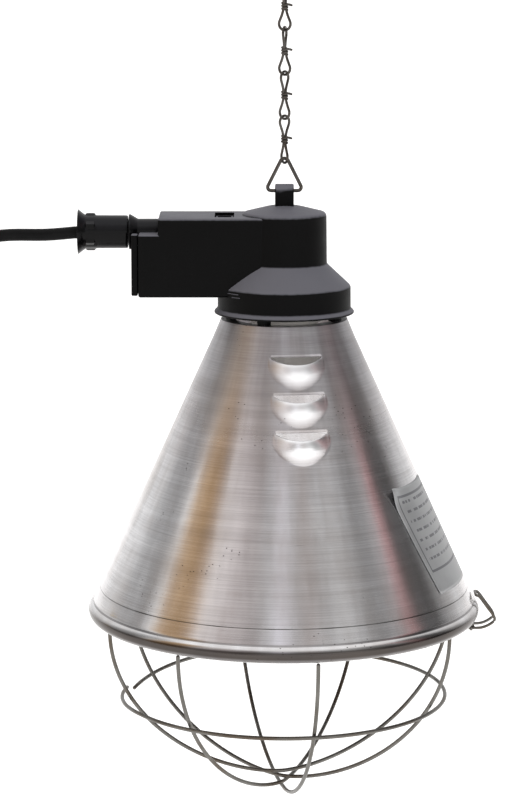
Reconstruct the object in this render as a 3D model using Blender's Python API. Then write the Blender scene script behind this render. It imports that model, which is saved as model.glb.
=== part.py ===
"""A hanging infrared heat lamp for poultry and piglets: a spun aluminium shade
under a black plastic cap with a side arm, on a knotted chain, with a hinged
wire guard below the rim. The origin is the inside of the hook's crown, where
the lamp hangs from a bar, with +Z up and the arm along -X.

Heights are written over the middle of the rim bead and lengths in mm; LAMP,
an empty, carries the whole part down to its place below the hook."""
import math

import bmesh
import bpy
import numpy as np
from mathutils import Matrix, Vector

MM = 0.001
GAP = 0.3                    # clear space left between touching pieces

# driving dimensions
RIM_R = 105.0                # rolled rim, outside
BEAD_R = 4.0                 # radius of the rolled bead
SHADE_TOP = 155.0            # height of the shade's top edge
SHADE_TOP_R = 33.4
CREASE_H, CREASE_R = 145.0, 37.6
SHADE_WALL = 1.2
CAP_R, CAP_TOP = 22.2, 212.0
SKIRT_R, SKIRT_TOP, SKIRT_FOOT = 35.1, 184.3, 172.3
LIP_H, LIP_R = 158.2, 36.9
WALL = 2.0
ARM_END, ARM_HALF = -76.4, 19.0
ARM_FOOT, ARM_HEAD = 168.4, 209.8
SHELF_H, SHELF_X = 201.3, -66.0
GLAND_H = 200.9
HINGE_H = 222.6              # hanger ring's lower bar, through the lug
RING_APEX = 238.0
PITCH = 23.0                 # from one chain link's bearing point to the next
LINKS = 4
HOOK_EYE = RING_APEX + LINKS * PITCH
HOOK_CROWN = HOOK_EYE + 27.0
HOOK_WIRE = 1.3
LOOSE = 1.1                  # play between the hook's eye and the last loop
HOOK_LOW = HOOK_EYE - HOOK_WIRE - LOOSE      # centre line of the eye's lowest point
GUARD_R, GUARD_TOP = 97.0, -6.5
GUARD_WIRE = 1.05            # radius of the galvanised guard wire
GUARD_HINGE = (-93.0, -9.0)
LATCH_AXIS = (101.0, -12.8)
CORD_R = 3.25
COIL_X, COIL_Y, COIL_H = -192.0, -5.0, 104.0
COIL_LAYERS, COIL_ROWS = (26.0, 32.5, 39.0), (-10.05, -3.35, 3.35, 10.05)

for old in list(bpy.data.objects):
    bpy.data.objects.remove(old, do_unlink=True)


# ---- making and placing ----

def finish_material(name, colour, rough, metal=0.0):
    material = bpy.data.materials.new(name)
    material.use_nodes = True
    shader = material.node_tree.nodes["Principled BSDF"]
    shader.inputs["Base Color"].default_value = (*colour, 1)
    shader.inputs["Roughness"].default_value = rough
    shader.inputs["Metallic"].default_value = metal
    material.diffuse_color = (*colour, 1)
    return material


BLACK = finish_material("black_plastic", (0.012, 0.012, 0.013), 0.42)
GLOSS = finish_material("gloss_black_plastic", (0.01, 0.01, 0.012), 0.2)
RUBBER = finish_material("black_rubber", (0.014, 0.014, 0.014), 0.6)
ALUMINIUM = finish_material("spun_aluminium", (0.62, 0.61, 0.6), 0.28, 1.0)
ZINC = finish_material("galvanised_wire", (0.5, 0.49, 0.47), 0.35, 1.0)
BRIGHT = finish_material("bright_steel", (0.6, 0.6, 0.6), 0.25, 1.0)
BRASS = finish_material("brass", (0.72, 0.55, 0.25), 0.3, 1.0)
CERAMIC = finish_material("porcelain", (0.85, 0.83, 0.78), 0.25)
LABEL = finish_material("label_foil", (0.55, 0.56, 0.57), 0.4)


def axis_empty(name, place, parent):
    empty = bpy.data.objects.new(name, None)
    bpy.context.collection.objects.link(empty)
    empty.parent = parent
    empty.location = Vector(place) * MM
    bpy.context.view_layer.update()
    if parent is not None:
        empty.matrix_world = LAMP_AT @ Matrix.Translation(Vector(place) * MM)
    bpy.context.view_layer.update()
    return empty


def place(thing, parent):
    """Hang an object, modelled in the lamp's own frame, on its body's empty."""
    thing.parent = parent
    thing.matrix_parent_inverse = parent.matrix_world.inverted() @ LAMP_AT
    return thing


def mesh_object(name, verts, faces, material, parent, smooth=35):
    mesh = bpy.data.meshes.new(name)
    mesh.from_pydata([tuple(np.array(v) * MM) for v in verts], [], faces)
    shape = bmesh.new()
    shape.from_mesh(mesh)
    bmesh.ops.recalc_face_normals(shape, faces=shape.faces)
    shape.to_mesh(mesh)
    shape.free()
    mesh.materials.append(material)
    mesh.shade_smooth()
    mesh.set_sharp_from_angle(angle=math.radians(smooth))
    thing = bpy.data.objects.new(name, mesh)
    bpy.context.collection.objects.link(thing)
    return place(thing, parent)


def turned(name, profile, material, parent, sides=48, along="Z", centre=(0, 0, 0)):
    """Turn a profile of (radius, height) points about an axis through centre.
    A point of radius 0 is a pole; a profile with none closes on itself."""
    verts, rings = [], []
    for radius, height in profile:
        if radius == 0:
            rings.append([len(verts)])
            verts.append((0, 0, height))
            continue
        rings.append(list(range(len(verts), len(verts) + sides)))
        for k in range(sides):
            angle = 2 * math.pi * k / sides
            verts.append((radius * math.cos(angle), radius * math.sin(angle), height))
    pairs = list(zip(rings, rings[1:]))
    if profile[0][0] != 0:
        pairs.append((rings[-1], rings[0]))
    faces = []
    for a, b in pairs:
        for k in range(sides):
            n = (k + 1) % sides
            if len(a) == 1 and len(b) == 1:
                break
            if len(a) == 1:
                faces.append((a[0], b[k], b[n]))
            elif len(b) == 1:
                faces.append((a[k], b[0], a[n]))
            else:
                faces.append((a[k], b[k], b[n], a[n]))
    turn = {"Z": (0, 1, 2), "X": (2, 0, 1), "Y": (1, 2, 0)}[along]
    verts = [tuple(np.array(v)[list(turn)] + np.array(centre)) for v in verts]
    return mesh_object(name, verts, faces, material, parent)


def prism(name, outline, low, high, material, parent, along="Y"):
    """Carry a flat outline from low to high along one axis."""
    n = len(outline)
    order = {"Y": lambda a, b, t: (a, t, b), "X": lambda a, b, t: (t, a, b),
             "Z": lambda a, b, t: (a, b, t)}[along]
    verts = [order(a, b, low) for a, b in outline] + [order(a, b, high) for a, b in outline]
    faces = [tuple(range(n)), tuple(range(2 * n - 1, n - 1, -1))]
    faces += [(k, (k + 1) % n, n + (k + 1) % n, n + k) for k in range(n)]
    return mesh_object(name, verts, faces, material, parent)


def block(name, low, high, material, parent):
    (x0, y0, z0), (x1, y1, z1) = low, high
    outline = [(x0, z0), (x1, z0), (x1, z1), (x0, z1)]
    return prism(name, outline, y0, y1, material, parent)


def wire(name, points, radius, material, parent, closed=False, resolution=1):
    """A round wire or cord along a route of points, in mm."""
    curve = bpy.data.curves.new(name, "CURVE")
    curve.dimensions = "3D"
    curve.bevel_depth = radius * MM
    curve.bevel_resolution = resolution
    curve.use_fill_caps = True
    curve.twist_mode = "MINIMUM"
    spline = curve.splines.new("POLY")
    spline.points.add(len(points) - 1)
    for point, at in zip(spline.points, points):
        point.co = (*(Vector(at) * MM), 1)
    spline.use_cyclic_u = closed
    curve.materials.append(material)
    thing = bpy.data.objects.new(name, curve)
    bpy.context.collection.objects.link(thing)
    return place(thing, parent)


def smooth_route(points, count):
    """Read count points, evenly apart, from a Catmull-Rom curve through points."""
    knots = np.array(points, float)
    padded = np.vstack([2 * knots[0] - knots[1], knots, 2 * knots[-1] - knots[-2]])
    dense = []
    for a, b, c, d in zip(padded, padded[1:], padded[2:], padded[3:]):
        t = np.linspace(0, 1, 24, endpoint=False)[:, None]
        dense.append(0.5 * (2 * b + (c - a) * t + (2 * a - 5 * b + 4 * c - d) * t ** 2
                            + (3 * b - a - 3 * c + d) * t ** 3))
    dense = np.vstack(dense + [knots[-1:]])
    run = np.concatenate([[0], np.cumsum(np.linalg.norm(np.diff(dense, axis=0), axis=1))])
    wanted = np.linspace(0, run[-1], count)
    return [tuple(np.interp(s, run, dense[:, k]) for k in range(3)) for s in wanted]


def as_tool(thing):
    """Keep an object as a Boolean operand only."""
    if thing.type == "CURVE":
        solid = bpy.data.meshes.new_from_object(
            thing.evaluated_get(bpy.context.evaluated_depsgraph_get()))
        flat = bpy.data.objects.new(thing.name, solid)
        bpy.context.collection.objects.link(flat)
        flat.parent = thing.parent
        flat.matrix_parent_inverse = thing.matrix_parent_inverse.copy()
        bpy.data.objects.remove(thing)
        thing = flat
    thing.hide_render = True
    thing.display_type = "WIRE"
    return thing


def combine(target, tool, operation):
    modifier = target.modifiers.new(operation.lower(), "BOOLEAN")
    modifier.object = as_tool(tool)
    modifier.operation = operation
    modifier.solver = "EXACT"
    return target


def cut(target, tool):
    return combine(target, tool, "DIFFERENCE")


def weld(target, tool):
    return combine(target, tool, "UNION")


# ---- bodies: each empty stands on its joint's axis ----

LAMP_AT = Matrix.Translation((0, 0, -HOOK_CROWN * MM))
HOOK = axis_empty("at_hook", (0, 0, 0), None)
chain_axes = []
above = HOOK
for number in range(LINKS, 0, -1):
    pivot = HOOK_LOW if number == LINKS else RING_APEX + number * PITCH
    above = axis_empty(f"at_link_{number}", (0, 0, pivot), above)
    chain_axes.append(above)
RING = axis_empty("at_hanger_ring", (0, 0, RING_APEX), above)
LAMP = axis_empty("at_lamp", (0, 0, HINGE_H), RING)
ROCKER_AXIS = (-31.5, 0, 205.0)
ROCKER = axis_empty("at_rocker", ROCKER_AXIS, LAMP)
GUARD = axis_empty("at_guard", (GUARD_HINGE[0], 0, GUARD_HINGE[1]), LAMP)
LATCH = axis_empty("at_latch", (LATCH_AXIS[0], 0, LATCH_AXIS[1]), GUARD)


# ---- suspension ----

CHAIN_WIRE = 0.7
EYE_R = 6.5
crown_across = HOOK_CROWN + HOOK_WIRE - (HOOK_LOW + 2 * EYE_R)


def hook_route():
    """An S hook: a round eye closed on the chain, and an open crown above it."""
    eye = [(EYE_R * math.sin(a), 0, HOOK_LOW + EYE_R - EYE_R * math.cos(a))
           for a in np.radians(np.arange(-150, 181, 18))]
    half = crown_across / 2
    crown = [(half * math.sin(a), 0, HOOK_LOW + 2 * EYE_R + half - half * math.cos(a))
             for a in np.radians(np.arange(-15, -271, -17))]
    return eye + crown[1:]


wire("hanging_hook", hook_route(), HOOK_WIRE, ZINC, HOOK)

LOOP_R = 3.3


def loop_route(reach, turn):
    """One teardrop loop of a link, from its knot out to reach and back again,
    in an upright plane turned about Z. The bearing point is the loop's end."""
    sign = math.copysign(1, reach)
    end = abs(reach) + CHAIN_WIRE + GAP / 2
    middle = end - LOOP_R
    arc = [(LOOP_R * math.sin(a), middle + LOOP_R * math.cos(a))
           for a in np.radians(np.arange(-110, 111, 22))]
    side = [(-0.9, 0.6), (-1.6, middle * 0.45)] + arc + [(1.6, middle * 0.45), (0.9, 0.6)]
    return [(u * math.cos(turn), u * math.sin(turn), sign * v) for u, v in side]


def chain_link(number, body):
    """A knotted link: two loops of one wire, tied round each other in the middle."""
    knot_h = RING_APEX + (number - 0.5) * PITCH
    knot = turned(f"chain_link_{number}", [(0, -2.4), (1.7, -2.4), (2.0, -1.8), (1.75, -0.6),
                  (2.0, 0.6), (1.75, 1.8), (1.6, 2.4), (0, 2.4)], ZINC, body,
                  sides=14, centre=(0, 0, knot_h))
    for reach, turn in ((PITCH / 2, math.pi / 4), (-PITCH / 2, -math.pi / 4)):
        loop = [(x, y, z + knot_h) for x, y, z in loop_route(reach, turn)]
        weld(knot, wire(f"loop_{number}_{reach:+.0f}", loop, CHAIN_WIRE, ZINC, body))
    tail = [(1.0, 0, knot_h + 0.9), (3.6, -0.6, knot_h + 0.7)]
    return weld(knot, wire(f"tail_{number}", tail, CHAIN_WIRE * 0.9, ZINC, body))


for body, number in zip(chain_axes, range(LINKS, 0, -1)):
    chain_link(number, body)

RING_WIRE = 0.85
apex = RING_APEX + RING_WIRE + 0.7


def ring_route():
    """A triangle of wire: a round apex and two round lower corners."""
    corners = [((0, apex - 3.0), 3.0), ((7.6, HINGE_H + 2.0), 2.0), ((-7.6, HINGE_H + 2.0), 2.0)]
    spans = ((150, 30), (30, -90), (-90, -210))
    route = []
    for ((x, z), radius), (start, stop) in zip(corners, spans):
        for angle in np.radians(np.linspace(start, stop, 6)):
            route.append((x + radius * math.cos(angle), 0, z + radius * math.sin(angle)))
    return route


wire("hanger_ring", ring_route(), RING_WIRE, ZINC, RING, closed=True)


# ---- housing: cap, skirt, side arm and lug in one moulding ----

housing = turned("housing", [
    (0, CAP_TOP + 3.6), (9, CAP_TOP + 2.4), (18, CAP_TOP + 0.2), (20.8, CAP_TOP - 0.8),
    (CAP_R - 0.2, CAP_TOP - 2.8), (CAP_R, CAP_TOP - 5), (CAP_R + 0.3, SKIRT_TOP),
    (SKIRT_R - 0.6, SKIRT_FOOT + 0.7), (SKIRT_R, SKIRT_FOOT - 0.3), (SKIRT_R + 0.1, LIP_H + 2.4),
    (LIP_R, LIP_H + 0.9), (LIP_R, LIP_H), (0, LIP_H)],
    BLACK, LAMP, sides=48)
weld(housing, prism("arm_outside", [
    (ARM_END, ARM_FOOT), (-8, ARM_FOOT), (-8, ARM_HEAD), (SHELF_X, ARM_HEAD),
    (SHELF_X, SHELF_H), (ARM_END, SHELF_H)], -ARM_HALF, ARM_HALF, BLACK, LAMP))
LUG_HALF, LUG_DEEP, LUG_TOP = 4.9, 4.2, 226.2
weld(housing, prism("lug", [(-LUG_DEEP, CAP_TOP - 1), (LUG_DEEP, CAP_TOP - 1)] + [
    (LUG_DEEP * math.cos(a), LUG_TOP - LUG_DEEP + LUG_DEEP * math.sin(a))
    for a in np.radians(np.arange(0, 181, 20))], -LUG_HALF, LUG_HALF, BLACK, LAMP, along="X"))
cut(housing, turned("cap_inside", [
    (0, CAP_TOP + 0.4), (17.5, CAP_TOP - 1.8), (CAP_R - WALL, CAP_TOP - 5),
    (CAP_R - WALL, SKIRT_TOP - 0.8), (SKIRT_R - WALL, SKIRT_FOOT - 1), (SKIRT_R - WALL, LIP_H + WALL),
    (25.5, LIP_H + WALL), (25.5, LIP_H - 4), (0, LIP_H - 4)], BLACK, LAMP, sides=48))
cut(housing, prism("arm_inside", [
    (ARM_END - 4, ARM_FOOT + WALL), (-10, ARM_FOOT + WALL), (-10, ARM_HEAD - WALL),
    (SHELF_X + WALL, ARM_HEAD - WALL), (SHELF_X + WALL, SHELF_H - WALL),
    (ARM_END - 4, SHELF_H - WALL)], WALL - ARM_HALF, ARM_HALF - WALL, BLACK, LAMP))
cut(housing, block("switch_opening", (-36.6, -11.2, ARM_HEAD - 4), (-26.4, 11.2, ARM_HEAD + 3),
                   BLACK, LAMP))
cut(housing, turned("gland_seat", [(0, -82), (7.2, -82), (7.2, -60), (0, -60)], BLACK, LAMP,
                    sides=24, along="X", centre=(0, 0, GLAND_H)))
cut(housing, turned("lug_hole", [(0, -9), (1.5, -9), (1.5, 9), (0, 9)], BLACK, LAMP,
                    sides=16, along="X", centre=(0, 0, HINGE_H)))

SCREW_Y, SCREW_H = 12.5, 176.5           # the end cover's two screws
SCREW_R = 1.35                           # radius of every screw's shank
for side in (-1, 1):
    y0, y1 = sorted((side * (SCREW_Y - 3.5), side * (ARM_HALF - 1)))
    boss = block(f"boss_{side}", (ARM_END + 0.5, y0, ARM_FOOT + 1), (ARM_END + 11, y1, SCREW_H + 3.5),
                 BLACK, LAMP)
    weld(housing, boss)
    cut(housing, turned(f"pilot_{side}", [(0, ARM_END - 3), (1.6, ARM_END - 3), (1.6, ARM_END + 9),
                        (0, ARM_END + 9)], BLACK, LAMP, sides=12, along="X",
                        centre=(0, side * SCREW_Y, SCREW_H)))

COVER_FACE, COVER_HALF, COVER_FOOT, NOTCH_R = -80.0, 17.8, 169.2, 9.8
cover = block("arm_end_cover", (COVER_FACE, -COVER_HALF, COVER_FOOT),
              (ARM_END - GAP, COVER_HALF, SHELF_H), BLACK, LAMP)
cut(cover, turned("cover_notch", [(0, -84), (NOTCH_R, -84), (NOTCH_R, -70), (0, -70)], BLACK, LAMP,
                  sides=28, along="X", centre=(0, 0, GLAND_H)))
for number, side in ((1, -1), (2, 1)):
    centre = (0, side * SCREW_Y, SCREW_H)
    cut(cover, turned(f"cover_hole_{number}", [(0, -82), (1.7, -82), (1.7, -70), (0, -70)],
                      BLACK, LAMP, sides=12, along="X", centre=centre))
    head = COVER_FACE - GAP
    turned(f"cover_screw_{number}", [(0, head - 1.7), (1.8, head - 1.5), (2.7, head), (SCREW_R, head),
           (SCREW_R, -69.0), (0, -68.2)], BRIGHT, LAMP, sides=14, along="X", centre=centre)

SHADE_SCREWS = [math.radians(a) for a in (-22, 68, 158, 248)]
SHADE_SCREW_R = 28.6
for number, angle in enumerate(SHADE_SCREWS, 1):
    at = (SHADE_SCREW_R * math.sin(angle), -SHADE_SCREW_R * math.cos(angle), 0)
    cut(housing, turned(f"lip_hole_{number}", [(0, LIP_H - 3), (1.6, LIP_H - 3), (1.6, LIP_H + 5),
                        (0, LIP_H + 5)], BLACK, LAMP, sides=10, centre=at))
    turned(f"shade_spacer_{number}", [(1.7, SHADE_TOP + GAP), (3.6, SHADE_TOP + GAP),
           (3.6, LIP_H - GAP), (1.7, LIP_H - GAP)], BLACK, LAMP, sides=16, centre=at)
    under_head = SHADE_TOP - SHADE_WALL - 0.2
    turned(f"shade_screw_{number}", [(0, under_head - 2), (2.0, under_head - 1.8),
           (3.0, under_head), (SCREW_R, under_head), (SCREW_R, LIP_H + 4), (0, LIP_H + 4.6)],
           BRIGHT, LAMP, sides=12, centre=at)


# ---- switch in the arm's top ----

switch = block("switch_body", (-36.1, -10.7, 190), (-26.9, 10.7, 208.2), BLACK, LAMP)
cut(switch, block("switch_well", (-35.1, -9.7, 199), (-27.9, 9.7, 212), BLACK, LAMP))
prism("switch_rocker", [(-9.0, 206.6), (-8.2, 203.2), (8.2, 203.2), (9.0, 206.6), (4.0, 206.9),
      (0, 207.6), (-4.0, 206.9)], -34.7, -28.3, GLOSS, ROCKER, along="X")


# ---- cord gland ----

turned("gland_body", [
    (5.0, -62), (6.9, -62), (6.9, -77), (9.3, -81.2), (9.3, -81.7), (5.0, -81.7)],
    GLOSS, LAMP, sides=32, along="X", centre=(0, 0, GLAND_H))
turned("gland_nut", [
    (7.4, -82.2), (8.6, -82.2), (8.7, -98.6), (9.6, -99.4), (9.6, -103.4), (8.9, -104.6),
    (11.8, -108.2), (11.8, -108.5), (11.2, -108.5), (5.6, -104.8), (4.3, -103.0), (4.3, -98.2),
    (7.4, -98.2)], GLOSS, LAMP, sides=36, along="X", centre=(0, 0, GLAND_H))
turned("gland_seal", [(CORD_R + GAP, -97.6), (7.0, -97.6), (7.0, -84.5), (CORD_R + GAP, -84.5)],
       RUBBER, LAMP, sides=20, along="X", centre=(0, 0, GLAND_H))


# ---- lampholder in the cap, with its bracket and wiring ----

turned("holder_bracket", [(0, 181.0), (18.0, 181.0), (18.0, 182.4), (0, 182.4)],
       BRIGHT, LAMP, sides=36)
turned("lampholder", [
    (0, 180.4), (16.5, 180.4), (18.4, 178.6), (18.4, 146), (20.0, 142), (20.0, 128), (18.6, 124),
    (14.6, 124), (14.6, 161), (0, 161)], CERAMIC, LAMP, sides=40)
turned("screw_shell", [(14.2, 126.0), (14.2, 156.0), (13.4, 156.0), (13.4, 126.0)],
       BRASS, LAMP, sides=40)
turned("centre_contact", [(0, 160.4), (6.0, 160.4), (6.0, 159.7), (3.4, 158.6), (0, 158.0)],
       BRASS, LAMP, sides=20)
for number, side in ((1, -1), (2, 1)):
    turned(f"bracket_screw_{number}", [(0, 184.9), (2.4, 184.7), (3.0, 182.8), (0, 182.8)],
           BRIGHT, LAMP, sides=12, centre=(0, side * 9, 0))
for number, side in ((1, -1), (2, 1)):
    route = smooth_route([(-60, side * 2.2, 199), (-45, side * 7, 186), (-25, side * 9, 186.4),
                          (-13, side * 5, 188.4)], 16)
    wire(f"inner_wire_{number}", route, 1.2, RUBBER if side < 0 else LABEL, LAMP)
turned("diode", [(0, -6), (1.8, -6), (1.8, 6), (0, 6)], GLOSS, LAMP, sides=12, along="Y",
       centre=(-50, 0, 176))


# ---- shade ----

def shade_radius(height):
    """The cone: a short steep neck, then one straight flare to the bead."""
    if height > CREASE_H:
        return SHADE_TOP_R + (SHADE_TOP - height) * (CREASE_R - SHADE_TOP_R) / (SHADE_TOP - CREASE_H)
    return CREASE_R + (CREASE_H - height) * FLARE


FLARE = (RIM_R - BEAD_R - CREASE_R) / (CREASE_H - 5.8)
LOUVRES = (140.4, 122.0, 103.7)          # height of each upward slit
LOUVRE_AT = math.radians(8.7)
LOUVRE_HALF, LOUVRE_DROP, LOUVRE_OUT = 13.4, 11.2, 4.2
LEDGE = 3.4                              # the slit's height, from wall to dome


def bulge(angle, height):
    """How far the wall stands out below a slit: a half dome, deepest at the slit."""
    out = 0.0
    for top in LOUVRES:
        down = (top - LEDGE - height) / LOUVRE_DROP
        across = (angle - LOUVRE_AT) * shade_radius(height) / LOUVRE_HALF
        if 0 <= down < 1 and abs(across) < 1:
            out += LOUVRE_OUT * (1 - across ** 2) * (1 - down ** 2)
    return out


def make_shade():
    rows = [SHADE_TOP, CREASE_H]
    for top in LOUVRES:
        rows += [top, top - LEDGE - 0.05, top - 7, top - 10.6, top - 14.6]
    rows += [68, 45, 24, 5.6]
    near = [LOUVRE_AT + math.radians(a) for a in (-24, -19, -14, -9, -4, 0, 4, 9, 14, 19, 24)]
    far = list(LOUVRE_AT + np.radians(np.linspace(24, 336, 38)[1:-1]))
    angles = near + far
    bead = [(RIM_R - BEAD_R + BEAD_R * math.cos(a), BEAD_R * math.sin(a))
            for a in np.radians((75, 40, 0, -40, -80, -120, -160, -200))]
    columns = []
    for angle in angles:
        turned_to = np.array([math.sin(angle), -math.cos(angle)])
        outer = [(shade_radius(h) + bulge(angle, h), h) for h in rows]
        inner = [(r - SHADE_WALL, h) for r, h in reversed(outer)]
        inner[-1] = (inner[-1][0], SHADE_TOP - SHADE_WALL)
        neck = [(25.6, SHADE_TOP - SHADE_WALL), (25.6, SHADE_TOP)]
        columns.append([(*(turned_to * r), h) for r, h in outer + bead + inner + neck])
    count = len(columns[0])
    verts = [p for column in columns for p in column]
    faces = []
    for c in range(len(columns)):
        d = (c + 1) % len(columns)
        for k in range(count):
            n = (k + 1) % count
            faces.append((c * count + k, c * count + n, d * count + n, d * count + k))
    shade = mesh_object("shade", verts, faces, ALUMINIUM, LAMP)
    verts, faces = [], []
    for top in LOUVRES:
        middle, first = shade_radius(top), len(verts)
        x, y = middle * math.sin(LOUVRE_AT), -middle * math.cos(LOUVRE_AT)
        half = LOUVRE_HALF - 2.2
        verts += [(x + a, y + b, top + c) for a in (-half, half) for b in (-9, 4) for c in (-3.0, -0.4)]
        faces += [tuple(first + k for k in quad) for quad in (
            (0, 1, 3, 2), (4, 6, 7, 5), (0, 4, 5, 1), (2, 3, 7, 6), (0, 2, 6, 4), (1, 5, 7, 3))]
    cut(shade, mesh_object("slits", verts, faces, ALUMINIUM, LAMP))
    for number, angle in enumerate(SHADE_SCREWS, 1):
        at = (SHADE_SCREW_R * math.sin(angle), -SHADE_SCREW_R * math.cos(angle), 0)
        cut(shade, turned(f"shade_hole_{number}", [(0, 152), (1.7, 152), (1.7, 158), (0, 158)],
                          ALUMINIUM, LAMP, sides=10, centre=at))
    return shade


make_shade()


LABEL_LEFT, LABEL_LEAN, LABEL_RIGHT = 48, 9.4, 88     # degrees round; its left edge leans
LABEL_HEIGHTS = (72, 17)


def make_label():
    """A thin foil label laid on the cone's front right."""
    heights, n = np.linspace(*LABEL_HEIGHTS, 5), 12
    lefts = np.linspace(LABEL_LEFT, LABEL_LEFT + LABEL_LEAN, len(heights))
    verts = []
    for lift in (0.35, 0.6):
        for h, left in zip(heights, lefts):
            for a in np.radians(np.linspace(left, LABEL_RIGHT, n)):
                r = shade_radius(h) + lift
                verts.append((r * math.sin(a), -r * math.cos(a), h))
    m = len(heights)

    def at(side, j, i):
        return (side * m + j) * n + i

    faces = []
    for j in range(m - 1):
        for i in range(n - 1):
            faces.append((at(1, j, i), at(1, j + 1, i), at(1, j + 1, i + 1), at(1, j, i + 1)))
            faces.append((at(0, j, i), at(0, j, i + 1), at(0, j + 1, i + 1), at(0, j + 1, i)))
    for i in range(n - 1):
        faces.append((at(0, 0, i), at(1, 0, i), at(1, 0, i + 1), at(0, 0, i + 1)))
        faces.append((at(0, m - 1, i), at(0, m - 1, i + 1), at(1, m - 1, i + 1), at(1, m - 1, i)))
    for j in range(m - 1):
        faces.append((at(0, j, 0), at(0, j + 1, 0), at(1, j + 1, 0), at(1, j, 0)))
        faces.append((at(0, j, n - 1), at(1, j, n - 1), at(1, j + 1, n - 1), at(0, j + 1, n - 1)))
    return mesh_object("label", verts, faces, LABEL, LAMP)


make_label()
HINGE_X, HINGE_Z = GUARD_HINGE
tab_top_r = shade_radius(22) - SHADE_WALL - 0.8
tab_low_r = shade_radius(8) - SHADE_WALL - 0.8
hinge = prism("guard_hinge_tab", [
    (HINGE_X - 1.2, HINGE_Z + 0.5), (-tab_low_r, 8), (-tab_top_r, 22), (1.2 - tab_top_r, 22),
    (1.3 - tab_low_r, 7.5), (HINGE_X + 0.2, HINGE_Z + 0.5)], -6, 6, ALUMINIUM, LAMP)
weld(hinge, turned("hinge_barrel", [(0, -6), (2.3, -6), (2.3, 6), (0, 6)], ALUMINIUM, LAMP,
                   sides=20, along="Y", centre=(HINGE_X, 0, HINGE_Z)))
cut(hinge, turned("hinge_bore", [(0, -9), (1.5, -9), (1.5, 9), (0, 9)], ALUMINIUM, LAMP,
                  sides=20, along="Y", centre=(HINGE_X, 0, HINGE_Z)))


# ---- guard ----

def guard_ring_route():
    """The top ring, whose ends turn in and meet as a pin through the hinge barrel."""
    start = math.asin(11 / GUARD_R)
    route = []
    for angle in np.linspace(math.pi - start, start - math.pi, 58):
        route.append((GUARD_R * math.cos(angle), GUARD_R * math.sin(angle), GUARD_TOP))
    back = [(x, -y, z) for x, y, z in reversed(GUARD_PIN)]
    return route + back + GUARD_PIN


GUARD_PIN = [(HINGE_X, 7.0, HINGE_Z), (HINGE_X, 8.4, HINGE_Z), (HINGE_X - 0.7, 9.8, HINGE_Z + 0.6)]
wire("guard_top_ring", guard_ring_route(), GUARD_WIRE, ZINC, GUARD, closed=True)

# each rib's two ends, in degrees round from the front, and the depth of its bottom
RIBS = ((-75, 108, -94.0), (65, -119, -97.0), (-35, 153, -100.0), (10, -165, -103.0))


def rib_route(first, second, depth):
    """A U of wire: a quarter oval down from each end, meeting under the middle."""
    top = GUARD_TOP - 2 * GUARD_WIRE - GAP
    route = []
    for end, span in ((first, np.linspace(0, 90, 17)[:-1]), (second, np.linspace(90, 0, 17))):
        side = np.array([math.sin(math.radians(end)), -math.cos(math.radians(end))])
        for t in np.radians(span):
            route.append((*(side * GUARD_R * max(math.cos(t), 0) ** 1.15), top + (depth - top) * math.sin(t)))
    return route


for number, (first, second, depth) in enumerate(RIBS, 1):
    wire(f"guard_rib_{number}", rib_route(first, second, depth), GUARD_WIRE, ZINC, GUARD)

HOOP_H, HOOP_R = -49.5, 88.9
hoop = [(HOOP_R * math.sin(a), -HOOP_R * math.cos(a), HOOP_H)
        for a in np.radians(np.linspace(-102, 250, 60))]
wire("guard_hoop", hoop, GUARD_WIRE, ZINC, GUARD)

LATCH_X, LATCH_Z = LATCH_AXIS
lug = prism("latch_lug", [(94.8, -8.0), (99.2, -8.0), (LATCH_X + 1.6, LATCH_Z + 1.4),
            (LATCH_X + 2.0, LATCH_Z), (LATCH_X, LATCH_Z - 2.0), (LATCH_X - 2.2, LATCH_Z)],
            -3.4, 3.4, ZINC, GUARD)
cut(lug, turned("latch_bore", [(0, -6), (1.0, -6), (1.0, 6), (0, 6)], ZINC, GUARD, sides=16,
                along="Y", centre=(LATCH_X, 0, LATCH_Z)))
LATCH_WIRE = 0.65
LATCH_HALF = 4.8
latch_side = [(LATCH_X + 1.0, LATCH_Z), (106.6, -12.5), (110.6, -10.9), (113.4, -8.4),
              (112.6, -5.6), (109.4, -1.2), (106.4, 3.0), (104.8, 4.8), (103.4, 5.3)]
latch_route = [(LATCH_X, 3.6, LATCH_Z)]
latch_route += [(x, LATCH_HALF, z) for x, z in latch_side]
latch_route += [(103.2, 3.6, 5.4), (103.2, -3.6, 5.4)]
latch_route += [(x, -LATCH_HALF, z) for x, z in reversed(latch_side)]
latch_route += [(LATCH_X, -3.6, LATCH_Z)]
wire("guard_latch", latch_route, LATCH_WIRE, ZINC, LATCH, closed=True)


# ---- supply lead: out of the gland, down to a tied coil and its plug ----

coil_in = COIL_LAYERS[0] - CORD_R - GAP
coil_out = COIL_LAYERS[-1] + CORD_R + GAP
coil_half = COIL_ROWS[-1] + CORD_R + GAP
enter = (COIL_X + COIL_ROWS[-1], COIL_Y + COIL_LAYERS[-1])
leave = (COIL_X + COIL_ROWS[0], COIL_Y + COIL_LAYERS[1])
lead = [(-84.0, 0, GLAND_H), (-100, 0, GLAND_H), (-109, 0, GLAND_H - 0.3), (-125, 0, GLAND_H - 1.6),
        (-150, 0, GLAND_H - 2.2), (-166, 1.5, GLAND_H - 8), (-177, 7, GLAND_H - 24),
        (-181, 16, GLAND_H - 44), (enter[0], 26, COIL_H + 37), (enter[0], 32, COIL_H + 18),
        (*enter, COIL_H + 1.0)]
wire("supply_cord", smooth_route(lead, 22), CORD_R, RUBBER, LAMP, resolution=2)
coil = turned("cord_coil", [
    (coil_in, 3 - coil_half), (coil_in, coil_half - 3), (coil_in + 3, coil_half),
    (coil_out - 3, coil_half), (coil_out, coil_half - 3), (coil_out, 3 - coil_half),
    (coil_out - 3, -coil_half), (coil_in + 3, -coil_half)], RUBBER, LAMP, sides=36, along="X",
    centre=(COIL_X, COIL_Y, COIL_H))
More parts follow.
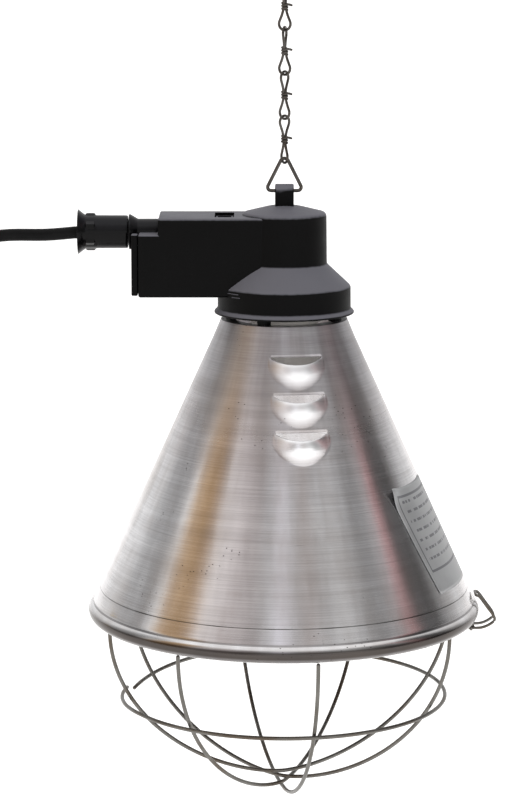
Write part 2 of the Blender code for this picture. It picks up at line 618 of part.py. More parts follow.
groove = CORD_R + GAP
cut(coil, block("coil_entry", (enter[0] - groove, 8, COIL_H + 0.7),
                (enter[0] + 12, COIL_Y + coil_out + 12, COIL_H + 60), RUBBER, LAMP))
cut(coil, block("coil_exit", (leave[0] - 12, leave[1] - groove - 2, COIL_H - 60),
                (leave[0] + groove, COIL_Y + coil_out + 12, COIL_H - 0.7), RUBBER, LAMP))
tie_x, tie_in, tie_out = coil_half + 1.4, COIL_Y - coil_in + 1.4, COIL_Y - coil_out - 1.4
tie = prism("cord_tie", [(COIL_X - tie_x, tie_out), (COIL_X + tie_x, tie_out),
            (COIL_X + tie_x, tie_in), (COIL_X - tie_x, tie_in)],
            COIL_H - 3, COIL_H + 3, BLACK, LAMP, along="Z")
hole_x, hole_in, hole_out = tie_x - 1.1, tie_in - 1.1, tie_out + 1.1
cut(tie, prism("tie_inside", [(COIL_X - hole_x, hole_out), (COIL_X + hole_x, hole_out),
               (COIL_X + hole_x, hole_in), (COIL_X - hole_x, hole_in)],
               COIL_H - 9, COIL_H + 9, BLACK, LAMP, along="Z"))

plug_top = COIL_H - 47
plug_at = (leave[0], COIL_Y + 31, 0)
tail = [(*leave, COIL_H - 1.0), (*leave, COIL_H - 16), (leave[0], plug_at[1] + 0.5, COIL_H - 32),
        (leave[0], plug_at[1], plug_top + GAP)]
wire("plug_tail", smooth_route(tail, 6), CORD_R, RUBBER, LAMP, resolution=2)
turned("plug_body", [(0, plug_top), (4.6, plug_top), (5.2, plug_top - 8), (10, plug_top - 14),
       (17.5, plug_top - 20), (18.6, plug_top - 22), (18.6, plug_top - 36), (0, plug_top - 36)],
       BLACK, LAMP, sides=28, centre=plug_at)
for number, side in ((1, -1), (2, 1)):
    turned(f"plug_pin_{number}", [(0, plug_top - 36.3), (2.4, plug_top - 36.3),
           (2.4, plug_top - 54), (1.2, plug_top - 55.2), (0, plug_top - 55.2)], BRIGHT, LAMP,
           sides=14, centre=(plug_at[0] + side * 9.5, plug_at[1], 0))
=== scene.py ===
import math
import bmesh
import bpy
import numpy as np
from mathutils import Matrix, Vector


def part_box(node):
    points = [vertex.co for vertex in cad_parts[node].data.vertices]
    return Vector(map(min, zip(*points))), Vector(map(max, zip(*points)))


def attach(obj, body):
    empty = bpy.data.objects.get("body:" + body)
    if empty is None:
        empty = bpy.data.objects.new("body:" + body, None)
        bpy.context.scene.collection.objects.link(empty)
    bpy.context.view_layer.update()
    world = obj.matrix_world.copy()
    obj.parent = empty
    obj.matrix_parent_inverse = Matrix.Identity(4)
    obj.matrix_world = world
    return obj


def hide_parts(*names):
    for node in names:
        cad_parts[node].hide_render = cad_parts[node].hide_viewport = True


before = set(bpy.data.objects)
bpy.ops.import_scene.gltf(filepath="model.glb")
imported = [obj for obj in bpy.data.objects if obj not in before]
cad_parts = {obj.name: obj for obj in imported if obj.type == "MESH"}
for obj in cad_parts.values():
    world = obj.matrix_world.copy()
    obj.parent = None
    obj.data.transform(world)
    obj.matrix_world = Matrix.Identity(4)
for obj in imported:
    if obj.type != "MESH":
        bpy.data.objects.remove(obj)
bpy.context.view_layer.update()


# ---- stage: the studio that the lamp hangs in ----
# A long lens looks a little down on the lamp, over a pale floor, in soft light from
# all round. Lengths here and below are in mm, and heights are over the middle of the
# rim bead.

MM = 0.001
BEAD_R = 4.0
RIM_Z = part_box("shade")[0].z + BEAD_R * MM


def placed(points):
    """Points in the lamp's own mm, as metres in the row frame: scaled and raised."""
    return np.asarray(points, float) * MM + np.array([0.0, 0.0, RIM_Z])


def area_light(name, place, size, power):
    """A soft rectangular lamp turned to the middle of the shade, unseen in mirrors."""
    data = bpy.data.lights.new(name, "AREA")
    data.shape = "RECTANGLE"
    data.size, data.size_y = size
    data.energy = power
    lamp = bpy.data.objects.new(name, data)
    bpy.context.collection.objects.link(lamp)
    lamp.location = place
    towards = Vector(placed([0, 0, 60]) - place)
    lamp.rotation_euler = towards.to_track_quat("-Z", "Y").to_euler()
    lamp.visible_glossy = False


camera_data = bpy.data.cameras.new("camera")
camera_data.sensor_width = 36
camera_data.lens = 126.7
camera_data.clip_end = 100
camera = bpy.data.objects.new("camera", camera_data)
bpy.context.collection.objects.link(camera)
LOOK_DOWN, DISTANCE = math.radians(10.107), 1.498
look_at = placed([-16.75, 0, 110.9])
look = np.array([0, math.cos(LOOK_DOWN), -math.sin(LOOK_DOWN)])
camera.location = look_at - look * DISTANCE
camera.rotation_euler = (math.pi / 2 - LOOK_DOWN, 0, 0)
bpy.context.scene.camera = camera
bpy.context.scene.view_settings.view_transform = "Standard"

area_light("softbox_left", (-1.5, -1.2, 0.9), (0.9, 1.4), 5)
area_light("softbox_right", (1.7, -0.8, 0.7), (0.5, 1.4), 4)
area_light("softbox_above", (0.1, -0.9, 1.7), (0.7, 0.7), 4)


class Value:
    """A number or colour in a shader. Arithmetic on it adds Math nodes."""

    def __init__(self, tree, socket):
        self.tree = tree
        self.socket = socket

    def maths(self, operation, *others):
        """A Math node with this value first."""
        node = self.tree.nodes.new("ShaderNodeMath")
        node.operation = operation
        for slot, value in zip(node.inputs, (self, *others)):
            feed(self.tree, slot, value)
        return Value(self.tree, node.outputs[0])

    def swapped(self, operation, other):
        """A Math node with this value second, as 1 - mask needs."""
        node = self.tree.nodes.new("ShaderNodeMath")
        node.operation = operation
        feed(self.tree, node.inputs[0], other)
        feed(self.tree, node.inputs[1], self)
        return Value(self.tree, node.outputs[0])

    def __add__(self, other):
        return self.maths("ADD", other)

    def __sub__(self, other):
        return self.maths("SUBTRACT", other)

    def __mul__(self, other):
        return self.maths("MULTIPLY", other)

    def __truediv__(self, other):
        return self.maths("DIVIDE", other)

    def __rsub__(self, other):
        return self.swapped("SUBTRACT", other)

    __radd__ = __add__
    __rmul__ = __mul__

    def above(self, edge):
        """1 where the value is over the edge, and 0 elsewhere."""
        return self.maths("GREATER_THAN", edge)

    def below(self, edge):
        """1 where the value is under the edge, and 0 elsewhere."""
        return self.maths("LESS_THAN", edge)

    def clipped(self):
        """The value held between 0 and 1."""
        return self.maths("MAXIMUM", 0.0).maths("MINIMUM", 1.0)


def feed(tree, slot, value):
    """Put a number, a colour or the end of a link into a socket."""
    if isinstance(value, Value):
        tree.links.new(value.socket, slot)
    elif isinstance(value, bpy.types.NodeSocket):
        tree.links.new(value, slot)
    else:
        slot.default_value = value


def socket_name(key):
    """A Principled socket's name from a keyword: base_color is Base Color."""
    return key.replace("_", " ").title().replace("Ior", "IOR")


class Finish:
    """One material: its Principled shader, and node() for anything else in it."""

    def __init__(self, name, **constants):
        self.material = bpy.data.materials.new(name)
        self.material.use_nodes = True
        self.tree = self.material.node_tree
        self.shader = self.tree.nodes["Principled BSDF"]
        for key, value in constants.items():
            self.shader.inputs[socket_name(key)].default_value = value

    def node(self, kind, settings=None, out=0, **inputs):
        """Add a node: its settings first, then its sockets by name."""
        node = self.tree.nodes.new("ShaderNode" + kind)
        for key, value in (settings or {}).items():
            if key == "stops":
                ramp = node.color_ramp.elements
                while len(ramp) < len(value):
                    ramp.new(0.5)
                for stop, (at, colour) in zip(ramp, value):
                    stop.position = at
                    stop.color = (*colour, 1)
            else:
                setattr(node, key, value)
        for key, value in inputs.items():
            feed(self.tree, node.inputs[key], value)
        return Value(self.tree, node.outputs[out])

    def place(self, scale=(1, 1, 1)):
        """Object coordinates, scaled."""
        return self.node("Mapping", Vector=self.node("TexCoord", out=3), Scale=scale)

    def split(self, vector):
        """A vector's three numbers."""
        return [self.node("SeparateXYZ", out=k, Vector=vector) for k in range(3)]

    def noise(self, scale, where=None, detail=3.0, rough=0.5):
        """Soft cloudy noise, finer with a greater scale."""
        return self.node("TexNoise", Vector=where or self.place(), Scale=scale, Detail=detail,
                         Roughness=rough)

    def ramp(self, value, stops):
        """Straight steps between (value, colour) stops."""
        return self.node("ValToRGB", {"stops": stops}, Fac=value)

    def mix(self, share, first, second, blend="MIX"):
        """Mix two colours."""
        node = self.tree.nodes.new("ShaderNodeMix")
        node.data_type = "RGBA"
        node.blend_type = blend
        feed(self.tree, node.inputs[0], share)
        for slot, value in ((node.inputs[6], first), (node.inputs[7], second)):
            feed(self.tree, slot, (*value, 1) if isinstance(value, tuple) else value)
        return Value(self.tree, node.outputs[2])

    def bump(self, height, distance, strength):
        """Raise the surface's grain by this many metres where height is 1."""
        self.shade(Normal=self.node("Bump", Height=height, Distance=distance, Strength=strength))

    def shade(self, **inputs):
        """Feed sockets of the Principled shader."""
        for key, value in inputs.items():
            feed(self.tree, self.shader.inputs[socket_name(key)], value)


def grid_mesh(name, points, finish, closed_u=False, closed_v=False, keep=None, smooth=40):
    """A surface from a (rows, columns, 3) grid of points in mm, joined quad by
    quad. closed_u joins the last row to the first, closed_v the last column."""
    points = np.asarray(points, float)
    rows, columns = points.shape[:2]
    i = np.arange(rows if closed_u else rows - 1)[:, None]
    j = np.arange(columns if closed_v else columns - 1)[None, :]
    i, j = np.broadcast_arrays(i, j)
    a = i * columns + j
    b = i * columns + (j + 1) % columns
    c = (i + 1) % rows * columns + (j + 1) % columns
    d = (i + 1) % rows * columns + j
    quads = np.stack([a, b, c, d], -1)
    if keep is not None:
        quads = quads[keep]
    return solid_mesh(name, points.reshape(-1, 3), quads.reshape(-1, 4), finish, smooth)


def solid_mesh(name, points, faces, finish, smooth=40):
    """An object from points in mm and faces, with doubles merged and its
    normals turned outwards."""
    mesh = bpy.data.meshes.new(name)
    mesh.from_pydata(placed(points).tolist(), [], np.asarray(faces).tolist())
    shape = bmesh.new()
    shape.from_mesh(mesh)
    bmesh.ops.remove_doubles(shape, verts=shape.verts, dist=1e-6)
    bmesh.ops.recalc_face_normals(shape, faces=shape.faces)
    shape.to_mesh(mesh)
    shape.free()
    mesh.materials.append(finish)
    mesh.shade_smooth()
    mesh.set_sharp_from_angle(angle=math.radians(smooth))
    thing = bpy.data.objects.new(name, mesh)
    bpy.context.collection.objects.link(thing)
    return thing


def modify(thing, kind, **settings):
    """Add a modifier with its settings."""
    modifier = thing.modifiers.new(kind.lower(), kind)
    for key, value in settings.items():
        setattr(modifier, key, value)
    return thing


def grey(level):
    """An even grey of this brightness."""
    return (level, level, level)


FLOOR_H = -260.0
floor_paint = Finish("floor_paint", roughness=0.9, emission_strength=0.45)
floor_paint.shade(Base_Color=floor_paint.mix(floor_paint.noise(2.0), grey(0.93), grey(0.9)),
                  Emission_Color=(1.0, 1.0, 1.0, 1.0))
around = np.linspace(0, 2 * np.pi, 65)[None, :]
reach = np.array([0.0, 400.0, 2000.0, 9000.0, 40000.0])[:, None]
floor = grid_mesh("floor", np.stack([reach * np.cos(around), reach * np.sin(around),
                                     FLOOR_H + 0 * reach * around], -1), floor_paint.material)


def light_the_room():
    """A white room with darker screens standing at some headings, which turned
    metal mirrors as upright bands, a bright sheet low in front and a pale ceiling."""
    world = bpy.data.worlds.new("studio")
    bpy.context.scene.world = world
    world.use_nodes = True
    tree = world.node_tree
    coordinates = tree.nodes.new("ShaderNodeTexCoord")
    parts = tree.nodes.new("ShaderNodeSeparateXYZ")
    tree.links.new(coordinates.outputs["Generated"], parts.inputs[0])
    x, y, up = (Value(tree, parts.outputs[k]) for k in (0, 1, 2))
    heading = x.maths("ARCTAN2", y * -1) / (2 * math.pi) + 0.5
    ramp = tree.nodes.new("ShaderNodeValToRGB")
    # degrees round from the front, to the right, and the colour there
    screens = [(-180, grey(0.9)), (-150, grey(0.95)), (-128, grey(0.92)), (-119, grey(0.55)),
               (-98, grey(0.4)), (-90, grey(1.05)), (-83, (0.76, 0.55, 0.35)),
               (-70, (0.56, 0.36, 0.18)), (-62, (0.56, 0.42, 0.31)), (-55, (0.95, 0.9, 0.88)),
               (-40, (0.76, 0.7, 0.69)), (-22, (0.45, 0.41, 0.4)), (-11, grey(0.62)),
               (-3, (1.1, 1.08, 1.15)), (7, grey(0.6)), (17, (0.58, 0.53, 0.51)), (29, grey(0.58)),
               (40, grey(0.74)), (50, grey(0.6)), (60, grey(0.36)), (68, grey(0.34)),
               (77, grey(0.52)), (85, (0.62, 0.34, 0.34)), (91, grey(0.13)), (107, grey(0.1)),
               (120, grey(0.5)), (137, grey(0.88)), (155, grey(1.0)), (180, grey(0.9))]
    stops = [(0.5 + at / 360, colour) for at, colour in screens]
    while len(ramp.color_ramp.elements) < len(stops):
        ramp.color_ramp.elements.new(0.5)
    for stop, (at, colour) in zip(ramp.color_ramp.elements, stops):
        stop.position = at
        stop.color = (*colour, 1)
    feed(tree, ramp.inputs[0], heading)
    overhead = (up * 7.0 - 4.9).clipped()     # from 45 to 58 degrees up
    # up to about 20 degrees high, and some 40 to each side of the front
    sheet = ((x * 0.3 - y * 0.95 - 0.72) * 5.0).clipped() * ((0.36 - up) * 5.0).clipped()
    below = ramp.outputs[0]
    for share, level in ((sheet, 1.35), (overhead, 1.2)):
        layer = tree.nodes.new("ShaderNodeMix")
        layer.data_type = "RGBA"
        feed(tree, layer.inputs[0], share)
        tree.links.new(below, layer.inputs[6])
        layer.inputs[7].default_value = (*grey(level), 1)
        below = layer.outputs[2]
    tree.links.new(below, tree.nodes["Background"].inputs[0])


light_the_room()


# ---- hook and chain: bent steel wire, each link two loops tied in the middle ----
# The links hook into each other, tarnished dark. Above the last one an S hook of
# thicker galvanised wire goes over a bar.

def tube(path, radius, facing, sides=14, closed=False):
    """A round section carried along a path: rings in the plane of the path's
    normal and of facing crossed with its tangent, ends rounded like a dome."""
    path = np.asarray(path, float)
    radius = np.broadcast_to(np.asarray(radius, float), len(path)).copy()
    if closed:
        tangent = np.roll(path, -1, 0) - np.roll(path, 1, 0)
    else:
        tangent = np.gradient(path, axis=0)
    tangent /= np.linalg.norm(tangent, axis=1)[:, None]
    if not closed:
        dome = np.array([0.0, 0.5, 0.87])
        before = path[:1] - tangent[:1] * (radius[0] * np.sqrt(1 - dome ** 2))[:, None]
        after = path[-1:] + tangent[-1:] * (radius[-1] * np.sqrt(1 - dome[::-1] ** 2))[:, None]
        path = np.vstack([before, path, after])
        tangent = np.vstack([tangent[:1].repeat(3, 0), tangent, tangent[-1:].repeat(3, 0)])
        radius = np.concatenate([radius[0] * dome, radius, radius[-1] * dome[::-1]])
    across = np.cross(tangent, np.asarray(facing, float))
    across /= np.linalg.norm(across, axis=1)[:, None]
    out = np.cross(across, tangent)
    angle = np.linspace(0, 2 * np.pi, sides, endpoint=False)[None, :, None]
    rings = across[:, None] * np.cos(angle) + out[:, None] * np.sin(angle)
    return path[:, None] + radius[:, None, None] * rings


def wire(name, runs, finish):
    """One mesh from several tubes, each (path, radius, facing, closed)."""
    points, faces, first = [], [], 0
    for path, radius, facing, closed in runs:
        grid = tube(path, radius, facing, closed=closed)
        rows, columns = grid.shape[:2]
        i = np.arange(rows if closed else rows - 1)[:, None]
        j = np.arange(columns)[None, :]
        i, j = np.broadcast_arrays(i, j)
        quads = np.stack([i * columns + j, i * columns + (j + 1) % columns,
                          (i + 1) % rows * columns + (j + 1) % columns,
                          (i + 1) % rows * columns + j], -1).reshape(-1, 4)
        faces.append(quads + first)
        points.append(grid.reshape(-1, 3))
        first += rows * columns
    return solid_mesh(name, np.vstack(points), np.vstack(faces), finish)


def arc(centre, radius, start, stop, count, flat=False):
    """Points round a circle, from start to stop degrees, upright along X or flat."""
    angle = np.radians(np.linspace(start, stop, count))
    a, b = radius * np.cos(angle), radius * np.sin(angle)
    return np.stack((a, b, 0 * a) if flat else (a, 0 * a, b), 1) + np.asarray(centre, float)


def eased(points, count):
    """Evenly spaced points on a Catmull-Rom curve through the given ones."""
    knots = np.asarray(points, float)
    padded = np.vstack([2 * knots[0] - knots[1], knots, 2 * knots[-1] - knots[-2]])
    a, b, c, d = (padded[k:len(padded) - 3 + k][:, None] for k in range(4))
    t = np.linspace(0, 1, 24, endpoint=False)[None, :, None]
    dense = 0.5 * (2 * b + (c - a) * t + (2 * a - 5 * b + 4 * c - d) * t ** 2
                   + (3 * b - a - 3 * c + d) * t ** 3)
    dense = np.vstack([dense.reshape(-1, 3), knots[-1:]])
    run = np.concatenate([[0], np.cumsum(np.linalg.norm(np.diff(dense, axis=0), axis=1))])
    want = np.linspace(0, run[-1], count)
    return np.stack([np.interp(want, run, dense[:, k]) for k in range(3)], 1)


def wire_finish(name, colour, dark, rust, rough):
    """Drawn wire: draw marks, dull patches and a little brown tarnish."""
    made = Finish(name, metallic=1.0)
    patches = made.noise(90.0, detail=5.0)
    fine = made.noise(900.0, detail=2.0)
    tarnish = made.ramp(made.noise(38.0, detail=4.0), [(0.48, grey(0)), (0.66, grey(1))])
    body = made.mix(patches, dark, colour)
    made.shade(Base_Color=made.mix(tarnish * 0.6, body, rust), Roughness=patches * 0.25 + rough)
    made.bump(fine, 0.0002, 0.3)
    return made.material


ZINC = wire_finish("galvanised_wire", (0.24, 0.235, 0.22), (0.075, 0.068, 0.058),
                   (0.09, 0.062, 0.036), 0.24)
DARK_WIRE = wire_finish("tarnished_wire", (0.13, 0.12, 0.11), (0.03, 0.027, 0.024),
                        (0.055, 0.038, 0.026), 0.22)
RING_APEX, PITCH, LINKS = 238.0, 23.0, 4
HOOK_EYE = RING_APEX + LINKS * PITCH
HOOK_WIRE, EYE_R, CROWN = 1.3, 6.5, 357.0
hook_low = HOOK_EYE - HOOK_WIRE - 1.1
crown_r = (CROWN + HOOK_WIRE - hook_low - 2 * EYE_R) / 2
eye = arc((0, 0, hook_low + EYE_R), EYE_R, -240, 90, 40)
crown = arc((0, 0, hook_low + 2 * EYE_R + crown_r), crown_r, -105, -361, 36)
hook = wire("s_hook", [(np.vstack([eye, crown[1:]]), HOOK_WIRE, (0, 1, 0), False)], ZINC)
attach(hook, "hook")
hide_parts("hanging_hook")

LINK_WIRE, LOOP_R = 0.7, 3.3
LINK_TURNS = ((-62, 42), (-42, 54), (-32, 74), (-26, 60))     # each link's lower and upper loop


def knotted_link(number):
    """Two teardrop loops of one wire in upright planes at right angles, with
    two and a half turns of the same wire wound round the crossing as a helix."""
    knot = RING_APEX + (number - 0.5) * PITCH
    runs = []
    for sign, turn in zip((-1, 1), np.radians(LINK_TURNS[number - 1])):
        middle = PITCH / 2 + LINK_WIRE + 0.15 - LOOP_R
        bend = arc((0, 0, 0), LOOP_R, -20, 200, 26)
        u = np.concatenate([[0.55, 0.7, 1.5], bend[:, 0], [-1.5, -0.7, -0.55]])
        v = np.concatenate([[-1.5, 0.8, middle * 0.45], middle + bend[:, 2],
                            [middle * 0.45, 0.8, -1.5]])
        shape = eased(np.stack([u, 0 * u, v], 1), 54)
        path = np.stack([shape[:, 0] * math.cos(turn), shape[:, 0] * math.sin(turn),
                         sign * shape[:, 2] + knot], 1)
        runs.append((path, LINK_WIRE, (-math.sin(turn), math.cos(turn), 0), False))
    t = np.linspace(0, 2.6 * 2 * np.pi, 60)
    wrap = np.stack([1.3 * np.cos(t), 1.3 * np.sin(t), knot - 1.9 + 1.45 * t / (2 * np.pi)], 1)
    runs.append((wrap, LINK_WIRE * 0.95, (0, 0, 1), False))
    tail = eased([(0.6, -1.2, knot + 0.9), (2.0, -1.2, knot + 1.0), (3.5, -0.9, knot + 0.6)], 8)
    runs.append((tail, LINK_WIRE * 0.9, (0, 0, 1), False))
    link = wire(f"link_wire_{number}", runs, DARK_WIRE)
    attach(link, f"link_{number}")
    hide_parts(f"chain_link_{number}")


for number in range(1, LINKS + 1):
    knotted_link(number)


# ---- hanger ring: one dark wire bent to a triangle with round corners ----
# Its lower bar goes through the cap's lug, and the chain's last loop hangs from its
# top corner.

HINGE_H, RING_WIRE, RING_HALF, TOP_BEND, FOOT_BEND = 222.6, 0.92, 7.0, 2.2, 1.8
ring_top = RING_APEX + RING_WIRE + 0.65
corners = [arc((0, 0, ring_top - TOP_BEND), TOP_BEND, 150, 30, 10),
           arc((RING_HALF, 0, HINGE_H + FOOT_BEND), FOOT_BEND, 30, -90, 10),
           arc((-RING_HALF, 0, HINGE_H + FOOT_BEND), FOOT_BEND, -90, -210, 10)]
hanger = wire("triangle_ring", [(np.vstack(corners), RING_WIRE, (0, 1, 0), True)], DARK_WIRE)
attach(hanger, "ring")
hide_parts("hanger_ring")


# ---- housing: cap, skirt and lip turned, the arm and the lug moulded on ----
# Black heat-proof plastic. The finish is a fine spark texture, greyer on what faces up,
# which is partly dusty and partly painted light from above, with a slight sheen on the edges.

def plastic(name, base, dust_and_top_light_grey, rough, grain, sheen):
    """Black moulding: greyer by how far a face looks up, partly dusty and partly painted top light,
    and a spark grain.
    """
    made = Finish(name, specular_ior_level=sheen)
    up = made.split(made.node("NewGeometry", out=1))[2]
    # painted light: the more a face looks up the greyer it is made, partly for settled dirt and
    # partly for light from above
    up_dust_and_light_share = made.ramp(up + made.noise(60.0) * 0.3 + made.noise(420.0) * 0.2 - 0.25, [
        (0.2, grey(0)), (0.6, grey(0.95)), (1.0, grey(1))])
    made.shade(Base_Color=made.mix(up_dust_and_light_share, base, dust_and_top_light_grey),
               Roughness=made.noise(140.0, detail=5.0) * 0.16 + rough)
    made.bump(made.noise(grain, detail=2.0), 0.0003, 0.22)
    return made


CAP_PLASTIC = plastic("cap_plastic", (0.002, 0.002, 0.0021), (0.126, 0.126, 0.144), 0.42, 2600.0,
                      0.07)


def turned(name, profile, finish, centre=(0, 0, 0), along="Z", sides=128, facets=0, smooth=30):
    """A profile of (radius, height) turned round an axis: x = r cos a,
    y = r sin a. facets, where given, flattens the sides to that many."""
    profile = np.asarray(profile, float)
    angle = np.linspace(0, 2 * np.pi, sides, endpoint=False)[None, :]
    r, h = profile[:, :1], profile[:, 1:2]
    scale = 1.0
    if facets:
        step = 2 * np.pi / facets
        scale = math.cos(step / 2) / np.cos((angle + step / 2) % step - step / 2)
    grid = np.stack([r * np.cos(angle) * scale, r * np.sin(angle) * scale, h + 0 * angle], -1)
    order = {"Z": [0, 1, 2], "X": [2, 0, 1], "Y": [1, 2, 0]}[along]
    return grid_mesh(name, grid[..., order] + np.asarray(centre, float), finish,
                     closed_v=True, smooth=smooth)


def rounded(profile, radius, steps=5):
    """Soften each inner corner of an open profile with a small quadratic bend."""
    profile = np.asarray(profile, float)
    out = [profile[:1]]
    for a, b, c in zip(profile, profile[1:], profile[2:]):
        la, lc = np.linalg.norm(a - b), np.linalg.norm(c - b)
        cut = min(radius, la / 2.2, lc / 2.2)
        p, q = b + (a - b) * cut / max(la, 1e-9), b + (c - b) * cut / max(lc, 1e-9)
        t = np.linspace(0, 1, steps)[:, None]
        out.append((1 - t) ** 2 * p + 2 * t * (1 - t) * b + t ** 2 * q)
    return np.vstack(out + [profile[-1:]])


CAP_R, CAP_TOP, SKIRT_R, LIP_R, LIP_H = 22.2, 212.0, 35.1, 36.9, 158.2
cap_profile = rounded([
    (0, CAP_TOP + 3.6), (9, CAP_TOP + 2.4), (21.3, CAP_TOP - 0.7), (CAP_R, CAP_TOP - 2.2),
    (CAP_R + 0.3, 184.3), (SKIRT_R - 0.5, 172.9), (SKIRT_R, 172.0), (SKIRT_R + 0.1, LIP_H + 2.6),
    (LIP_R, LIP_H + 1.0), (LIP_R, LIP_H), (25.5, LIP_H), (25.5, LIP_H + 2), (33.1, LIP_H + 2),
    (33.1, 171.3), (20.2, 183.5), (20.2, 207), (17.5, 210.2), (0, 212.4)], 0.9)
cap = turned("cap_shell", cap_profile, CAP_PLASTIC.material, sides=160)
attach(cap, "lamp")
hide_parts("housing")


def extruded(name, outline, low, high, finish, along="Y", bevel=0.8):
    """A closed flat outline carried straight from low to high."""
    outline = np.asarray(outline, float)
    n = len(outline)
    a, b = outline.T
    def layer(level):
        """The outline at this level along the axis."""
        return {"Y": np.stack([a, 0 * a + level, b], 1), "X": np.stack([0 * a + level, a, b], 1),
                "Z": np.stack([a, b, 0 * a + level], 1)}[along]
    k = np.arange(n)
    sides = np.stack([k, (k + 1) % n, n + (k + 1) % n, n + k], 1).tolist()
    mesh = bpy.data.meshes.new(name)
    mesh.from_pydata(placed(np.vstack([layer(low), layer(high)])).tolist(), [],
                     sides + [k[::-1].tolist(), (k + n).tolist()])
    shape = bmesh.new()
    shape.from_mesh(mesh)
    bmesh.ops.recalc_face_normals(shape, faces=shape.faces)
    shape.to_mesh(mesh)
    shape.free()
    mesh.materials.append(finish)
    thing = bpy.data.objects.new(name, mesh)
    bpy.context.collection.objects.link(thing)
    if bevel:
        modify(thing, "BEVEL", width=bevel * MM, segments=3, limit_method="ANGLE",
               angle_limit=math.radians(30), harden_normals=True)
    mesh.shade_smooth()
    return thing


def carve(thing, cutter):
    """Cut one closed shape out of a piece and keep the result as its mesh."""
    modify(thing, "BOOLEAN", object=cutter, operation="DIFFERENCE", solver="EXACT")
    graph = bpy.context.evaluated_depsgraph_get()
    made = bpy.data.meshes.new_from_object(thing.evaluated_get(graph))
    thing.modifiers.clear()
    thing.data = made
    bpy.data.objects.remove(cutter)
    made.shade_smooth()
    made.set_sharp_from_angle(angle=math.radians(35))


def hollow(thing, outline, low, high, along="Y"):
    """Cut a straight recess out of a piece."""
    carve(thing, extruded("recess", outline, low, high, CAP_PLASTIC.material, along, bevel=0))


ARM_END, ARM_HALF, ARM_FOOT, ARM_HEAD = -76.4, 19.0, 168.4, 209.8
SHELF_X, SHELF_H, GLAND_H = -66.0, 201.3, 200.9
WALL_IN = -8.0
arm = extruded("arm_shell", [(ARM_END, ARM_FOOT), (WALL_IN, ARM_FOOT), (WALL_IN, ARM_HEAD),
               (SHELF_X, ARM_HEAD), (SHELF_X, SHELF_H), (ARM_END, SHELF_H)], -ARM_HALF, ARM_HALF,
               CAP_PLASTIC.material, bevel=1.1)
hollow(arm, [(ARM_END - 3, ARM_FOOT + 2), (WALL_IN - 2, ARM_FOOT + 2), (WALL_IN - 2, ARM_HEAD - 2),
       (SHELF_X + 2, ARM_HEAD - 2), (SHELF_X + 2, SHELF_H - 2), (ARM_END - 3, SHELF_H - 2)],
       2 - ARM_HALF, ARM_HALF - 2)
carve(arm, turned("cap_core", [(0, CAP_TOP + 3), (CAP_R - 0.9, CAP_TOP - 2), (CAP_R - 0.6, 183.6),
      (SKIRT_R - 1.2, 172.3), (SKIRT_R - 1.0, 150), (0, 150)], CAP_PLASTIC.material, sides=160))
hollow(arm, [(-36.6, -11.2), (-26.4, -11.2), (-26.4, 11.2), (-36.6, 11.2)], ARM_HEAD - 4,
       ARM_HEAD + 3, along="Z")
turn = np.radians(np.linspace(0, 360, 32, endpoint=False))
hollow(arm, np.stack([7.1 * np.cos(turn), GLAND_H + 7.1 * np.sin(turn)], 1), -82, -60, along="X")
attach(arm, "lamp")

LUG_TOP, LUG_DEEP = 226.2, 4.2
bow = np.radians(np.linspace(0, 180, 24))
lug = extruded("hanger_lug", np.vstack([
    [(-LUG_DEEP - 0.6, CAP_TOP), (LUG_DEEP + 0.6, CAP_TOP)],
    np.stack([LUG_DEEP * np.cos(bow), LUG_TOP - LUG_DEEP + LUG_DEEP * np.sin(bow)], 1)]),
    -4.9, 4.9, CAP_PLASTIC.material, along="X", bevel=0.7)
hollow(lug, np.stack([1.5 * np.cos(turn), HINGE_H + 1.5 * np.sin(turn)], 1), -9, 9, along="X")
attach(lug, "lamp")

for number, (height, first, last) in enumerate(((170.6, -57, -44), (168.9, -51, -42)), 1):
    side = arc((0, 0, height), SKIRT_R, first - 90, last - 90, 12, flat=True)
    rib = wire(f"skirt_rib_{number}", [(side, 0.45, (0, 0, 1), False)], CAP_PLASTIC.material)
    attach(rib, "lamp")


# ---- arm end cover: a plate of the same black plastic over the arm's open end ----
# It is notched round the gland and held by two blacked screws sunk flush in its face.

COVER_FACE, COVER_HALF, COVER_FOOT, NOTCH_R = -80.0, 17.8, 169.2, 9.8
notch = np.radians(np.linspace(180, 360, 24))
cover = extruded("end_plate", np.vstack([
    [(COVER_HALF, SHELF_H), (COVER_HALF, COVER_FOOT), (-COVER_HALF, COVER_FOOT),
     (-COVER_HALF, SHELF_H)],
    np.stack([NOTCH_R * np.cos(notch), GLAND_H + 0.2 + NOTCH_R * np.sin(notch)], 1)]),
    COVER_FACE, ARM_END - 0.3, CAP_PLASTIC.material, along="X", bevel=0.6)
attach(cover, "lamp")
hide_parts("arm_end_cover")


def small_metal(name, dull, bright, grain):
    """Handled metal: a brighter and a duller tone in worn patches."""
    made = Finish(name, metallic=1.0)
    worn = made.noise(grain, detail=4.0)
    made.shade(Base_Color=made.mix(worn, dull, bright), Roughness=worn * 0.3 + 0.14)
    return made.material


BLACKED = small_metal("blacked_steel", (0.012, 0.012, 0.012), (0.05, 0.05, 0.05), 160.0)
for number, side in ((1, -1), (2, 1)):
    sunk = turned(f"sunk_screw_{number}", rounded([(0, -79.6), (0.8, -79.6), (1.2, -80.1),
                  (2.5, -80.1), (2.7, -79.9), (1.3, -78.2), (1.3, -69.0), (0, -68.2)], 0.1, 3),
                  BLACKED, (0, side * 12.5, 176.5), "X", 28)
    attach(sunk, "lamp")
    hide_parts(f"cover_screw_{number}")


# ---- cord gland: a body screwed into the arm, and a nut with a flared bell mouth ----
# Glossy black nylon. The nut is gripped by six flats behind its mouth, and squeezes a
# rubber seal round the cord.

